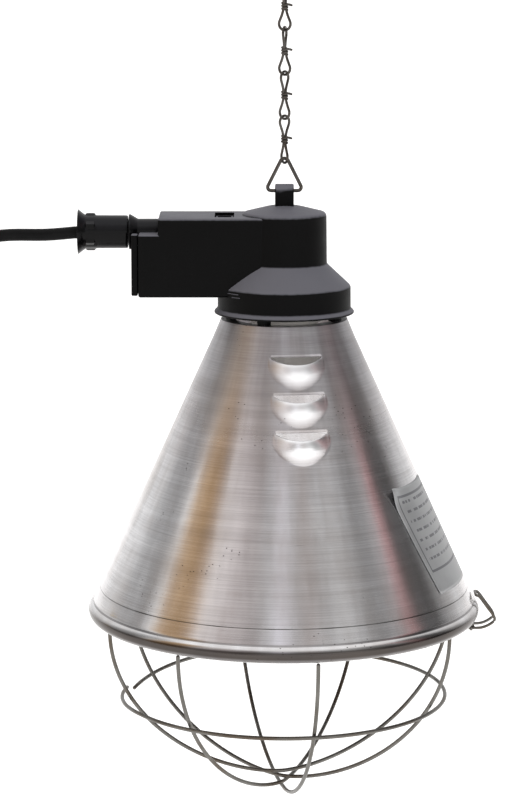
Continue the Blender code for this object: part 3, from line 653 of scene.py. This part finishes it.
NYLON = plastic("gland_nylon", (0.002, 0.002, 0.0022), (0.012, 0.012, 0.014), 0.08, 900.0, 0.13)
body_profile = rounded([(5.0, -62), (6.9, -62), (6.9, -77), (9.3, -81.0), (9.3, -81.7),
                        (5.0, -81.7), (5.0, -62)], 0.3, 4)
body = turned("gland_neck", body_profile, NYLON.material, (0, 0, GLAND_H), "X", 72)
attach(body, "lamp")
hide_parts("gland_body")
nut_profile = rounded([(7.4, -82.2), (8.4, -82.2), (8.7, -83.2), (8.75, -98.6), (8.9, -99.2)], 0.4)
bell = rounded([(8.9, -104.4), (9.6, -105.6), (11.8, -108.3), (11.6, -108.6), (10.6, -107.6),
                (5.6, -104.8), (4.3, -103.0), (4.3, -98.2), (7.4, -98.2), (7.4, -82.2)], 0.5)
nut = turned("gland_cap", np.vstack([nut_profile, bell]), NYLON.material, (0, 0, GLAND_H), "X", 96)
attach(nut, "lamp")
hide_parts("gland_nut")
flats = turned("gland_flats", rounded([(8.6, -99.0), (9.9, -99.8), (9.9, -104.0), (8.6, -105.0),
               (8.6, -99.0)], 0.4, 4), NYLON.material, (0, 0, GLAND_H), "X", 96, facets=6)
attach(flats, "lamp")


# ---- shade: one spun aluminium cone, its rim rolled over, three louvres pressed out ----
# Turning rings run round it, upright smears and streaks run down it; the streaks are partly polish
# and partly painted reflection bands.

SHADE_TOP, CREASE_H, CREASE_R, TOP_R, RIM_R = 155.0, 145.0, 37.6, 33.4, 105.0
FLARE = (RIM_R - BEAD_R - CREASE_R) / (CREASE_H - 5.8)
LOUVRES, LOUVRE_AT = (140.4, 122.0, 103.7), math.radians(8.7)
LOUVRE_HALF, DROP, STAND, DIP = 14.0, 16.5, 5.6, 3.3


def cone_radius(h):
    """Two straight slopes: a short neck, then the flare, as radius by height."""
    neck = TOP_R + (SHADE_TOP - h) * (CREASE_R - TOP_R) / (SHADE_TOP - CREASE_H)
    return np.where(h > CREASE_H, neck, CREASE_R + (CREASE_H - h) * FLARE)


def pressed(angle, h):
    """How a point of the wall moves outwards and down. Below each slit a
    quarter dome stands out by (1 - across^2 - down^2)^1.4, widest a third of the
    way down, and its lip dips by (1 - across^2)^0.7 (1 - down)^2, which opens
    the slit as a crescent."""
    out, fall = 0 * h * angle, 0 * h * angle
    across = (angle - LOUVRE_AT) * cone_radius(h) / LOUVRE_HALF
    for slit in LOUVRES:
        down = (slit - h) / DROP
        under = (down >= 0) & (down < 1)
        wide = across / (1 + 0.75 * down * np.clip(1 - down, 0, 1))
        dome = np.clip(1 - wide ** 2 - down ** 2, 0, 1) ** 1.4
        out = out + STAND * under * dome
        lip = np.clip(1 - across ** 2, 0, 1) ** 0.7 * np.clip(1 - down, 0, 1) ** 2
        fall = fall + DIP * under * lip
    return out, fall


EDGE, ROLL_R, ROLL_H = 0.02, 4.6, -1.5


def make_shade(finish):
    """The wall is r sin a, -r cos a and h, by height h and heading a, closer
    together at the louvres. Its rim is a rolled circle and its neck turns in."""
    fine = [np.concatenate([[slit + 1.5, slit + EDGE], slit - EDGE - DROP * np.linspace(0, 1, 34)])
            for slit in LOUVRES]
    heights = np.unique(np.round(np.concatenate([
        [SHADE_TOP, 153.5, 150, 147.5, CREASE_H + 0.5, CREASE_H - 0.5, 143], *fine,
        np.linspace(86, 4.6, 20)]), 2))[::-1]
    near = LOUVRE_AT + np.radians(np.linspace(-24, 24, 130))
    far = LOUVRE_AT + np.radians(np.linspace(24, 336, 124))[1:-1]
    angle = np.concatenate([near, far])[None, :]
    h = heights[:, None]
    out, fall = pressed(angle, h)
    r = cone_radius(h) + out
    wall = np.stack([r * np.sin(angle), -r * np.cos(angle), h - fall], -1)
    roll = np.radians(np.linspace(66, -190, 26))[:, None]
    r = RIM_R - ROLL_R + ROLL_R * np.cos(roll) - 0.1 + 0 * angle
    bead = np.stack([r * np.sin(angle), -r * np.cos(angle),
                     ROLL_R * np.sin(roll) + ROLL_H + 0 * angle], -1)
    turn_in = np.array([[26.0, SHADE_TOP], [32.6, SHADE_TOP]])
    flange = np.stack([turn_in[:, :1] * np.sin(angle), -turn_in[:, :1] * np.cos(angle),
                       turn_in[:, 1:] + 0 * angle], -1)
    grid = np.concatenate([flange, wall, bead])
    level = np.concatenate([turn_in[:, 1], heights, np.zeros(len(roll))])[:-1, None]
    offset = np.abs(angle - LOUVRE_AT) * cone_radius(level)
    keep = np.ones(offset.shape, bool)
    for slit in LOUVRES:
        keep &= ~((np.abs(level - slit - EDGE) < EDGE / 2) & (offset < LOUVRE_HALF - 0.6))
    shade = grid_mesh("shade_shell", grid, finish, closed_v=True, keep=keep, smooth=50)
    spots = np.empty(3 * len(shade.data.vertices), np.float32)
    shade.data.vertices.foreach_get("co", spots)
    x, y, z = spots.reshape(-1, 3).T.astype(float)
    h = (z - RIM_Z) / MM
    # painted highlight: how far each point stands out on a louvre dome, stored for the shader to
    # lighten it
    stands = (np.hypot(x, y) / MM - cone_radius(h)) / STAND * (h > 60)
    dome_highlight_layer = shade.data.attributes.new("pressed", "FLOAT", "POINT")
    dome_highlight_layer.data.foreach_set("value", np.clip(stands, 0, 1).astype(np.float32))
    modify(shade, "SOLIDIFY", thickness=0.8 * MM, offset=-1, use_rim=True)
    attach(shade, "lamp")
    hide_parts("shade")
    return shade


def spun_aluminium():
    """Fine rings by height, streaks by heading, partly polish streaks and partly
    painted reflection bands, cloudy smears, specks and scratches. A painted
    highlight where the louvres are pressed out, painted shade in a groove line,
    in the crease over the bead and on the bead's lower part, and darker towards the top."""
    made = Finish("spun_aluminium", metallic=1.0)
    x, y, z = made.split(made.place())
    heading = x.maths("ARCTAN2", y * -1)
    height = (z - RIM_Z) * 1000.0
    rings = made.noise(1.0, made.node("CombineXYZ", X=heading * 1.3, Y=height * 1.5), 3.0, 0.7)
    bands = made.noise(1.0, made.node("CombineXYZ", X=heading * 0.5, Y=height * 0.16), 3.0)
    # upright streaks by heading: partly polish streaks, partly painted reflection bands
    streak_and_reflection = made.noise(1.0, made.node("CombineXYZ", X=heading * 5.0, Y=height * 0.012), 3.0, 0.55)
    smear = made.noise(26.0, made.place(scale=(1, 1, 0.22)), detail=5.0)
    tone = made.ramp(streak_and_reflection * 0.65 + bands * 0.35, [
        (0.30, (0.5, 0.49, 0.5)), (0.43, (0.62, 0.6, 0.6)), (0.52, (0.7, 0.69, 0.7)),
        (0.62, (0.8, 0.79, 0.8)), (0.75, (0.68, 0.67, 0.68))])
    tone = made.mix(made.ramp(rings, [(0.36, grey(0.3)), (0.6, grey(0))]), tone,
                    (0.35, 0.34, 0.34))
    # darker towards the top, from about halfway up the cone to its neck
    darker_upwards = made.ramp((height + smear * 40.0) / 160.0, [
        (0.5, (1, 1, 1)), (0.8, (0.78, 0.76, 0.76)), (0.98, (0.56, 0.55, 0.56))])
    tone = made.mix(1.0, tone, darker_upwards, "MULTIPLY")
    soiled = made.ramp(smear, [(0.5, grey(0)), (0.72, grey(1))])
    tone = made.mix(soiled * 0.5, tone, (0.4, 0.36, 0.33))
    speck = made.node("TexVoronoi", Vector=made.place(scale=(1, 1, 1.8)), Scale=330.0)
    dirt = speck.below(0.13) * made.noise(34.0, detail=2.0).above(0.62)
    scratch = made.noise(1.0, made.node("CombineXYZ", X=heading * 7.0, Y=height * 2.6), 1.0)
    scratched = scratch.above(0.75) * made.noise(60.0, detail=1.0).above(0.55)
    tone = made.mix(scratched * 0.45, tone, (0.2, 0.19, 0.19))
    tone = made.mix(dirt, tone, (0.05, 0.045, 0.04))
    # painted shade: a dotted dark line about 11 mm up, where a spun groove would be; the shape has
    # no groove there
    groove_painted_shade = height.below(11.3) * height.above(10.8)
    tone = made.mix(groove_painted_shade * made.noise(70.0) * 1.4, tone, (0.07, 0.065, 0.06))
    # painted shade in the crease where the cone meets the rim bead
    crease_painted_shade = height.below(3.6) * height.above(2.6)
    # painted highlight: the louvre domes are lightened towards near-white by how far they stand out
    dome_painted_highlight = made.node("Attribute", {"attribute_name": "pressed"}, out=2)
    tone = made.mix(made.ramp(dome_painted_highlight, [(0.05, grey(0)), (0.5, grey(0.85))]), tone,
                    (0.93, 0.93, 0.94))
    # painted shade: the lower part of the rim bead, up to just over its middle, is mixed towards
    # near-black brown
    under = made.ramp((height + 6.0) / 8.0, [
        (0.0, grey(0.45)), (0.15, grey(0.7)), (0.35, grey(0.97)), (0.74, grey(0.95)),
        (0.86, grey(0.35)), (0.96, grey(0))])
    # painted shade laid into the crease over the bead
    tone = made.mix(crease_painted_shade * 0.6, tone, (0.1, 0.09, 0.09))
    tone = made.mix(under, tone, made.mix(smear, (0.03, 0.026, 0.025), (0.085, 0.07, 0.06)))
    neck = made.ramp((height + smear * 40.0) / 160.0, [(0.62, grey(0)), (1.0, grey(1))])
    made.shade(Base_Color=tone,
               Roughness=smear * 0.16 + rings * 0.08 + dirt * 0.4 + neck * 0.2 + 0.06)
    made.bump(rings * 0.7 + bands * 1.2, 0.0001, 0.45)
    return made.material


ALUMINIUM = spun_aluminium()
make_shade(ALUMINIUM)


# ---- label: a silver foil sticker lying on the cone, its upper corner lifting ----
# Printed with a frame line and rows of plain bars, and glued on by hand, so it leans
# a little.

def foil():
    """Dull foil on the sheet's own flat map: a frame line, and bars in eleven rows."""
    made = Finish("label_foil", metallic=0.55)
    u, v, _ = made.split(made.node("UVMap"))
    frame_in = u.above(0.06) * u.below(0.955) * v.above(0.2) * v.below(0.93)
    frame_out = u.above(0.078) * u.below(0.94) * v.above(0.222) * v.below(0.908)
    rows = v * 11.0
    row = rows.maths("FRACT")
    dash = made.node("TexNoise", {"noise_dimensions": "2D"}, Detail=1.0,
                     Vector=made.node("CombineXYZ", X=u * 26.0, Y=rows.maths("FLOOR") * 7.3),
                     Scale=1.0).above(0.47)
    bars = row.above(0.4) * row.below(0.66) * dash * u.above(0.13) * u.below(0.87)
    bars = bars * v.above(0.26) * v.below(0.88)
    ink = (frame_in - frame_out).maths("MAXIMUM", bars)
    worn = made.noise(70.0, detail=4.0)
    tone = made.mix(worn, (0.24, 0.245, 0.25), (0.4, 0.405, 0.41))
    made.shade(Base_Color=made.mix(ink * 0.85, tone, (0.06, 0.06, 0.07)),
               Roughness=worn * 0.25 + 0.3, Metallic=0.55 - ink * 0.5)
    return made.material


across = np.linspace(0, 1, 40)[None, :]
down = np.linspace(0, 1, 34)[:, None]
LABEL_LEFT, LABEL_RIGHT, LABEL_LEAN, LABEL_TOP, LABEL_FOOT = 48.3, 87.8, 9.4, 71.5, 17.5
angle = np.radians(LABEL_LEFT + LABEL_LEAN * down + (LABEL_RIGHT - LABEL_LEFT - LABEL_LEAN * down)
                   * across)
h = LABEL_TOP + (LABEL_FOOT - LABEL_TOP) * down + 0 * across
curl = np.exp(-((across / 0.13) ** 2 + (down / 0.11) ** 2))
r = cone_radius(h) + 0.45 + 2.6 * curl
sticker = grid_mesh("label_sheet", np.stack([r * np.sin(angle), -r * np.cos(angle), h + 1.5 * curl],
                                            -1), foil())
uv = sticker.data.uv_layers.new(name="sheet")
corner = np.empty(len(sticker.data.loops), int)
sticker.data.loops.foreach_get("vertex_index", corner)
flat = np.stack([(across + 0 * down).ravel(), (1 - down + 0 * across).ravel()], 1)
uv.data.foreach_set("uv", flat[corner].astype(np.float32).ravel())
modify(sticker, "SOLIDIFY", thickness=0.12 * MM, offset=1)
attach(sticker, "lamp")
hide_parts("label")


# ---- guard: four bent ribs spot-welded to a ring and a hoop of galvanised wire ----
# The ring's ends turn in and meet as a pin through a barrel at the rim's left. The
# hoop is open there, and one of its ends has sprung down.

GUARD_R, GUARD_TOP, GUARD_WIRE = 95.8, -6.4, 1.05
HINGE_X, HINGE_Z = -93.0, -9.0
start = math.degrees(math.asin(11 / GUARD_R))
sweep = arc((0, 0, GUARD_TOP), GUARD_R, 180 - start, start - 180, 150, flat=True)
pin = np.array([(HINGE_X, 7.0, HINGE_Z), (HINGE_X, 8.4, HINGE_Z),
                (HINGE_X - 0.7, 9.8, HINGE_Z + 0.6)])
pin_back = pin[::-1] * (1, -1, 1)
top_ring = wire("guard_ring_wire", [(np.vstack([sweep, pin_back, pin]), GUARD_WIRE, (0, 0.02, 1),
                                     True)], ZINC)
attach(top_ring, "guard")
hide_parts("guard_top_ring")

RIBS = ((-75, 108, -94.0), (65, -119, -97.0), (-35, 153, -100.0), (10, -165, -103.0))
RIB_TOP = GUARD_TOP - 2 * GUARD_WIRE - 0.3


def rib_path(first, second, depth):
    """Two quarter ovals, one down from each end: R cos^1.15 t out, sine down."""
    t = np.radians(np.linspace(0, 90, 48))
    out = GUARD_R * np.clip(np.cos(t), 0, 1) ** 1.15
    fall = RIB_TOP + (depth - RIB_TOP) * np.sin(t)
    legs = []
    for end in (first, second):
        way = math.radians(end)
        legs.append(np.stack([out * math.sin(way), -out * math.cos(way), fall], 1))
    return np.vstack([legs[0][:-1], legs[1][::-1]])


for number, (first, second, depth) in enumerate(RIBS, 1):
    way = math.radians(first)
    rib = wire(f"rib_wire_{number}", [(rib_path(first, second, depth), GUARD_WIRE,
                                       (math.cos(way), math.sin(way), 0), False)], ZINC)
    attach(rib, "guard")
    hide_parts(f"guard_rib_{number}")

HOOP_H, HOOP_R = -49.5, 87.3
hoop = arc((0, 0, HOOP_H), HOOP_R, -192, 160, 160, flat=True)
part_way = np.linspace(0, 1, len(hoop))
hoop[:, 2] -= 6.5 * np.clip((part_way - 0.88) / 0.12, 0, 1) ** 1.5
hoop[:, 2] -= 2.8 * np.clip((0.12 - part_way) / 0.12, 0, 1)
hoop = wire("hoop_wire", [(hoop, GUARD_WIRE, (0, 0, 1), False)], ZINC)
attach(hoop, "guard")
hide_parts("guard_hoop")


# ---- latch: a bail of galvanised spring wire at the rim's right ----
# It is hinged in a lug on the guard and snaps over the bead, which holds the guard
# shut.

LATCH_X, LATCH_Z, LATCH_HALF = 101.0, -12.8, 4.8
side = np.array([(LATCH_X + 1.0, LATCH_Z), (106.6, -12.5), (110.6, -10.9), (113.4, -8.4),
                 (112.6, -5.6), (109.4, -1.2), (106.4, 3.0), (104.8, 4.8), (103.4, 5.3)])
leg = np.insert(side, 1, LATCH_HALF, axis=1)
bail = np.vstack([[(LATCH_X, 3.0, LATCH_Z)], leg, [(103.2, 3.0, 5.4), (103.2, -3.0, 5.4)],
                  leg[::-1] * (1, -1, 1), [(LATCH_X, -3.0, LATCH_Z)]])
bail = eased(bail, 150)
latch = wire("latch_wire", [(bail, 0.75, (1.0, 0.013, 1.2), False)], ZINC)
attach(latch, "latch")
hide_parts("guard_latch")


# ---- supply lead: round black flex, a tied coil out of view, and a moulded plug ----
# It leaves the bell mouth level, sags a little and hangs its coil beside the lamp.

CORD_R, COIL_X, COIL_Y, COIL_H = 3.25, -192.0, -5.0, 104.0
LAYERS, ROWS, TURNS = (26.0, 32.5, 39.0), (10.05, 3.35, -3.35, -10.05), 11
enter = (COIL_X + ROWS[0], COIL_Y + LAYERS[2])
leave = (COIL_X + ROWS[3], COIL_Y + LAYERS[1])
lead = [(-84.0, 0, GLAND_H), (-100, 0, GLAND_H), (-109, 0, GLAND_H - 0.3), (-125, 0, GLAND_H - 1.6),
        (-150, 0, GLAND_H - 2.2), (-166, 1.5, GLAND_H - 8), (-177, 7, GLAND_H - 24),
        (-181, 16, GLAND_H - 44), (enter[0], 26, COIL_H + 37), (enter[0], 32, COIL_H + 18),
        (*enter, COIL_H + 1.0)]
tail = [(*leave, COIL_H - 1.0), (*leave, COIL_H - 16), (leave[0], COIL_Y + 31.5, COIL_H - 32),
        (leave[0], COIL_Y + 31, COIL_H - 46.7)]


def coil_turns():
    """Eleven turns as a spiral layer by layer: out and in across the section,
    then on to the next row. Each turn eases over to its next place at its end."""
    places = [(LAYERS[k], row) for n, row in enumerate(ROWS)
              for k in ((2, 1, 0) if n % 2 == 0 else (0, 1, 2))][:TURNS]
    places.append(places[-1])
    spots = np.array(places)
    turn = np.linspace(0, TURNS, TURNS * 26 + 1)
    whole = np.minimum(turn.astype(int), TURNS - 1)
    part = np.clip((turn - whole - 0.72) / 0.28, 0, 1)
    part = part * part * (3 - 2 * part)
    spot = spots[whole] + (spots[whole + 1] - spots[whole]) * part[:, None]
    angle = 2 * np.pi * turn
    return np.stack([COIL_X + spot[:, 1], COIL_Y + spot[:, 0] * np.cos(angle),
                     COIL_H - spot[:, 0] * np.sin(angle)], 1)


def flex():
    """Black rubber sheath, dull and slightly grained."""
    made = Finish("black_flex", specular_ior_level=0.06)
    made.shade(Base_Color=made.mix(made.noise(200.0), (0.003, 0.003, 0.003), (0.01, 0.01, 0.0105)),
               Roughness=made.noise(60.0) * 0.2 + 0.32)
    made.bump(made.noise(700.0, detail=3.0), 0.0002, 0.25)
    return made.material


RUBBER = flex()
route = np.vstack([eased(lead, 40), coil_turns()[1:], eased(tail, 12)[1:]])
line = bpy.data.curves.new("supply_lead", "CURVE")
line.dimensions = "3D"
line.bevel_depth = CORD_R * MM
line.bevel_resolution = 4
line.use_fill_caps = True
run = line.splines.new("POLY")
run.points.add(len(route) - 1)
run.points.foreach_set("co", np.column_stack([placed(route), np.ones(len(route))]).ravel())
run.use_smooth = True
line.materials.append(RUBBER)
lead_piece = bpy.data.objects.new("supply_lead", line)
bpy.context.collection.objects.link(lead_piece)
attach(lead_piece, "lamp")
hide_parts("supply_cord", "cord_coil", "plug_tail")

plug_top = COIL_H - 47
PLUG_X, PLUG_Y = leave[0], COIL_Y + 31
plug_profile = rounded([(0, plug_top), (4.5, plug_top), (5.0, plug_top - 8), (7.0, plug_top - 13),
                        (16.6, plug_top - 19), (18.4, plug_top - 23), (18.4, plug_top - 35.4),
                        (17.6, plug_top - 36), (0, plug_top - 36)], 1.8)
plug = turned("plug_shell", plug_profile, CAP_PLASTIC.material, (PLUG_X, PLUG_Y, 0), sides=96)
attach(plug, "lamp")
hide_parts("plug_body")

band_x, band_in, band_out = 14.4, COIL_Y - 22.0, COIL_Y - 43.4
loop = rounded([(0, band_out), (band_x, band_out), (band_x, band_in), (-band_x, band_in),
                (-band_x, band_out), (0, band_out)], 3.0)
tie_path = np.stack([COIL_X + loop[:-1, 0], loop[:-1, 1], 0 * loop[:-1, 0] + COIL_H], 1)
tie = wire("coil_tie", [(tie_path, 1.0, (0, 0, 1), True)], CAP_PLASTIC.material)
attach(tie, "lamp")
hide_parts("cord_tie")
for stored in (lead_piece, plug, tie):
    stored.visible_glossy = False


# ---- the pieces that keep their CAD shape ----
# The porcelain lampholder on its plated bracket, with a brass shell and contact, the
# switch and its wiring, the shade's screws and spacers, and the plug's brass pins.

def porcelain():
    """Off-white glaze, a little cloudy."""
    made = Finish("glazed_porcelain", coat_weight=0.6, coat_roughness=0.08)
    cloud = made.noise(45.0)
    made.shade(Base_Color=made.mix(cloud, (0.78, 0.75, 0.69), (0.88, 0.87, 0.84)),
               Roughness=cloud * 0.1 + 0.22)
    return made.material


def insulation(name, colour):
    """Soft wire insulation, in patches of its colour and a darker one."""
    made = Finish(name)
    made.shade(Base_Color=made.mix(made.noise(150.0), colour, tuple(0.6 * c for c in colour)),
               Roughness=made.noise(90.0) * 0.2 + 0.4)
    return made.material


PLATED = small_metal("plated_steel", (0.5, 0.5, 0.5), (0.78, 0.77, 0.74), 160.0)
BRASS = small_metal("brass_sheet", (0.5, 0.34, 0.12), (0.83, 0.64, 0.3), 120.0)
PORCELAIN = porcelain()
BROWN_WIRE = insulation("brown_insulation", (0.16, 0.07, 0.03))
BLUE_WIRE = insulation("blue_insulation", (0.03, 0.1, 0.4))
FINISHES = {
    "holder_bracket": PLATED, "lampholder": PORCELAIN, "screw_shell": BRASS,
    "centre_contact": BRASS, "plug_pin_1": BRASS, "plug_pin_2": BRASS,
    "inner_wire_1": BROWN_WIRE, "inner_wire_2": BLUE_WIRE, "diode": NYLON.material,
    "switch_body": CAP_PLASTIC.material, "switch_rocker": NYLON.material,
    "gland_seal": RUBBER, "guard_hinge_tab": ALUMINIUM, "latch_lug": ZINC,
    **{f"shade_spacer_{k}": CAP_PLASTIC.material for k in range(1, 5)},
    **{f"shade_screw_{k}": PLATED for k in range(1, 5)},
    **{f"bracket_screw_{k}": PLATED for k in (1, 2)}}
for node, finish in FINISHES.items():
    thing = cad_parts[node]
    thing.data.materials.clear()
    thing.data.materials.append(finish)
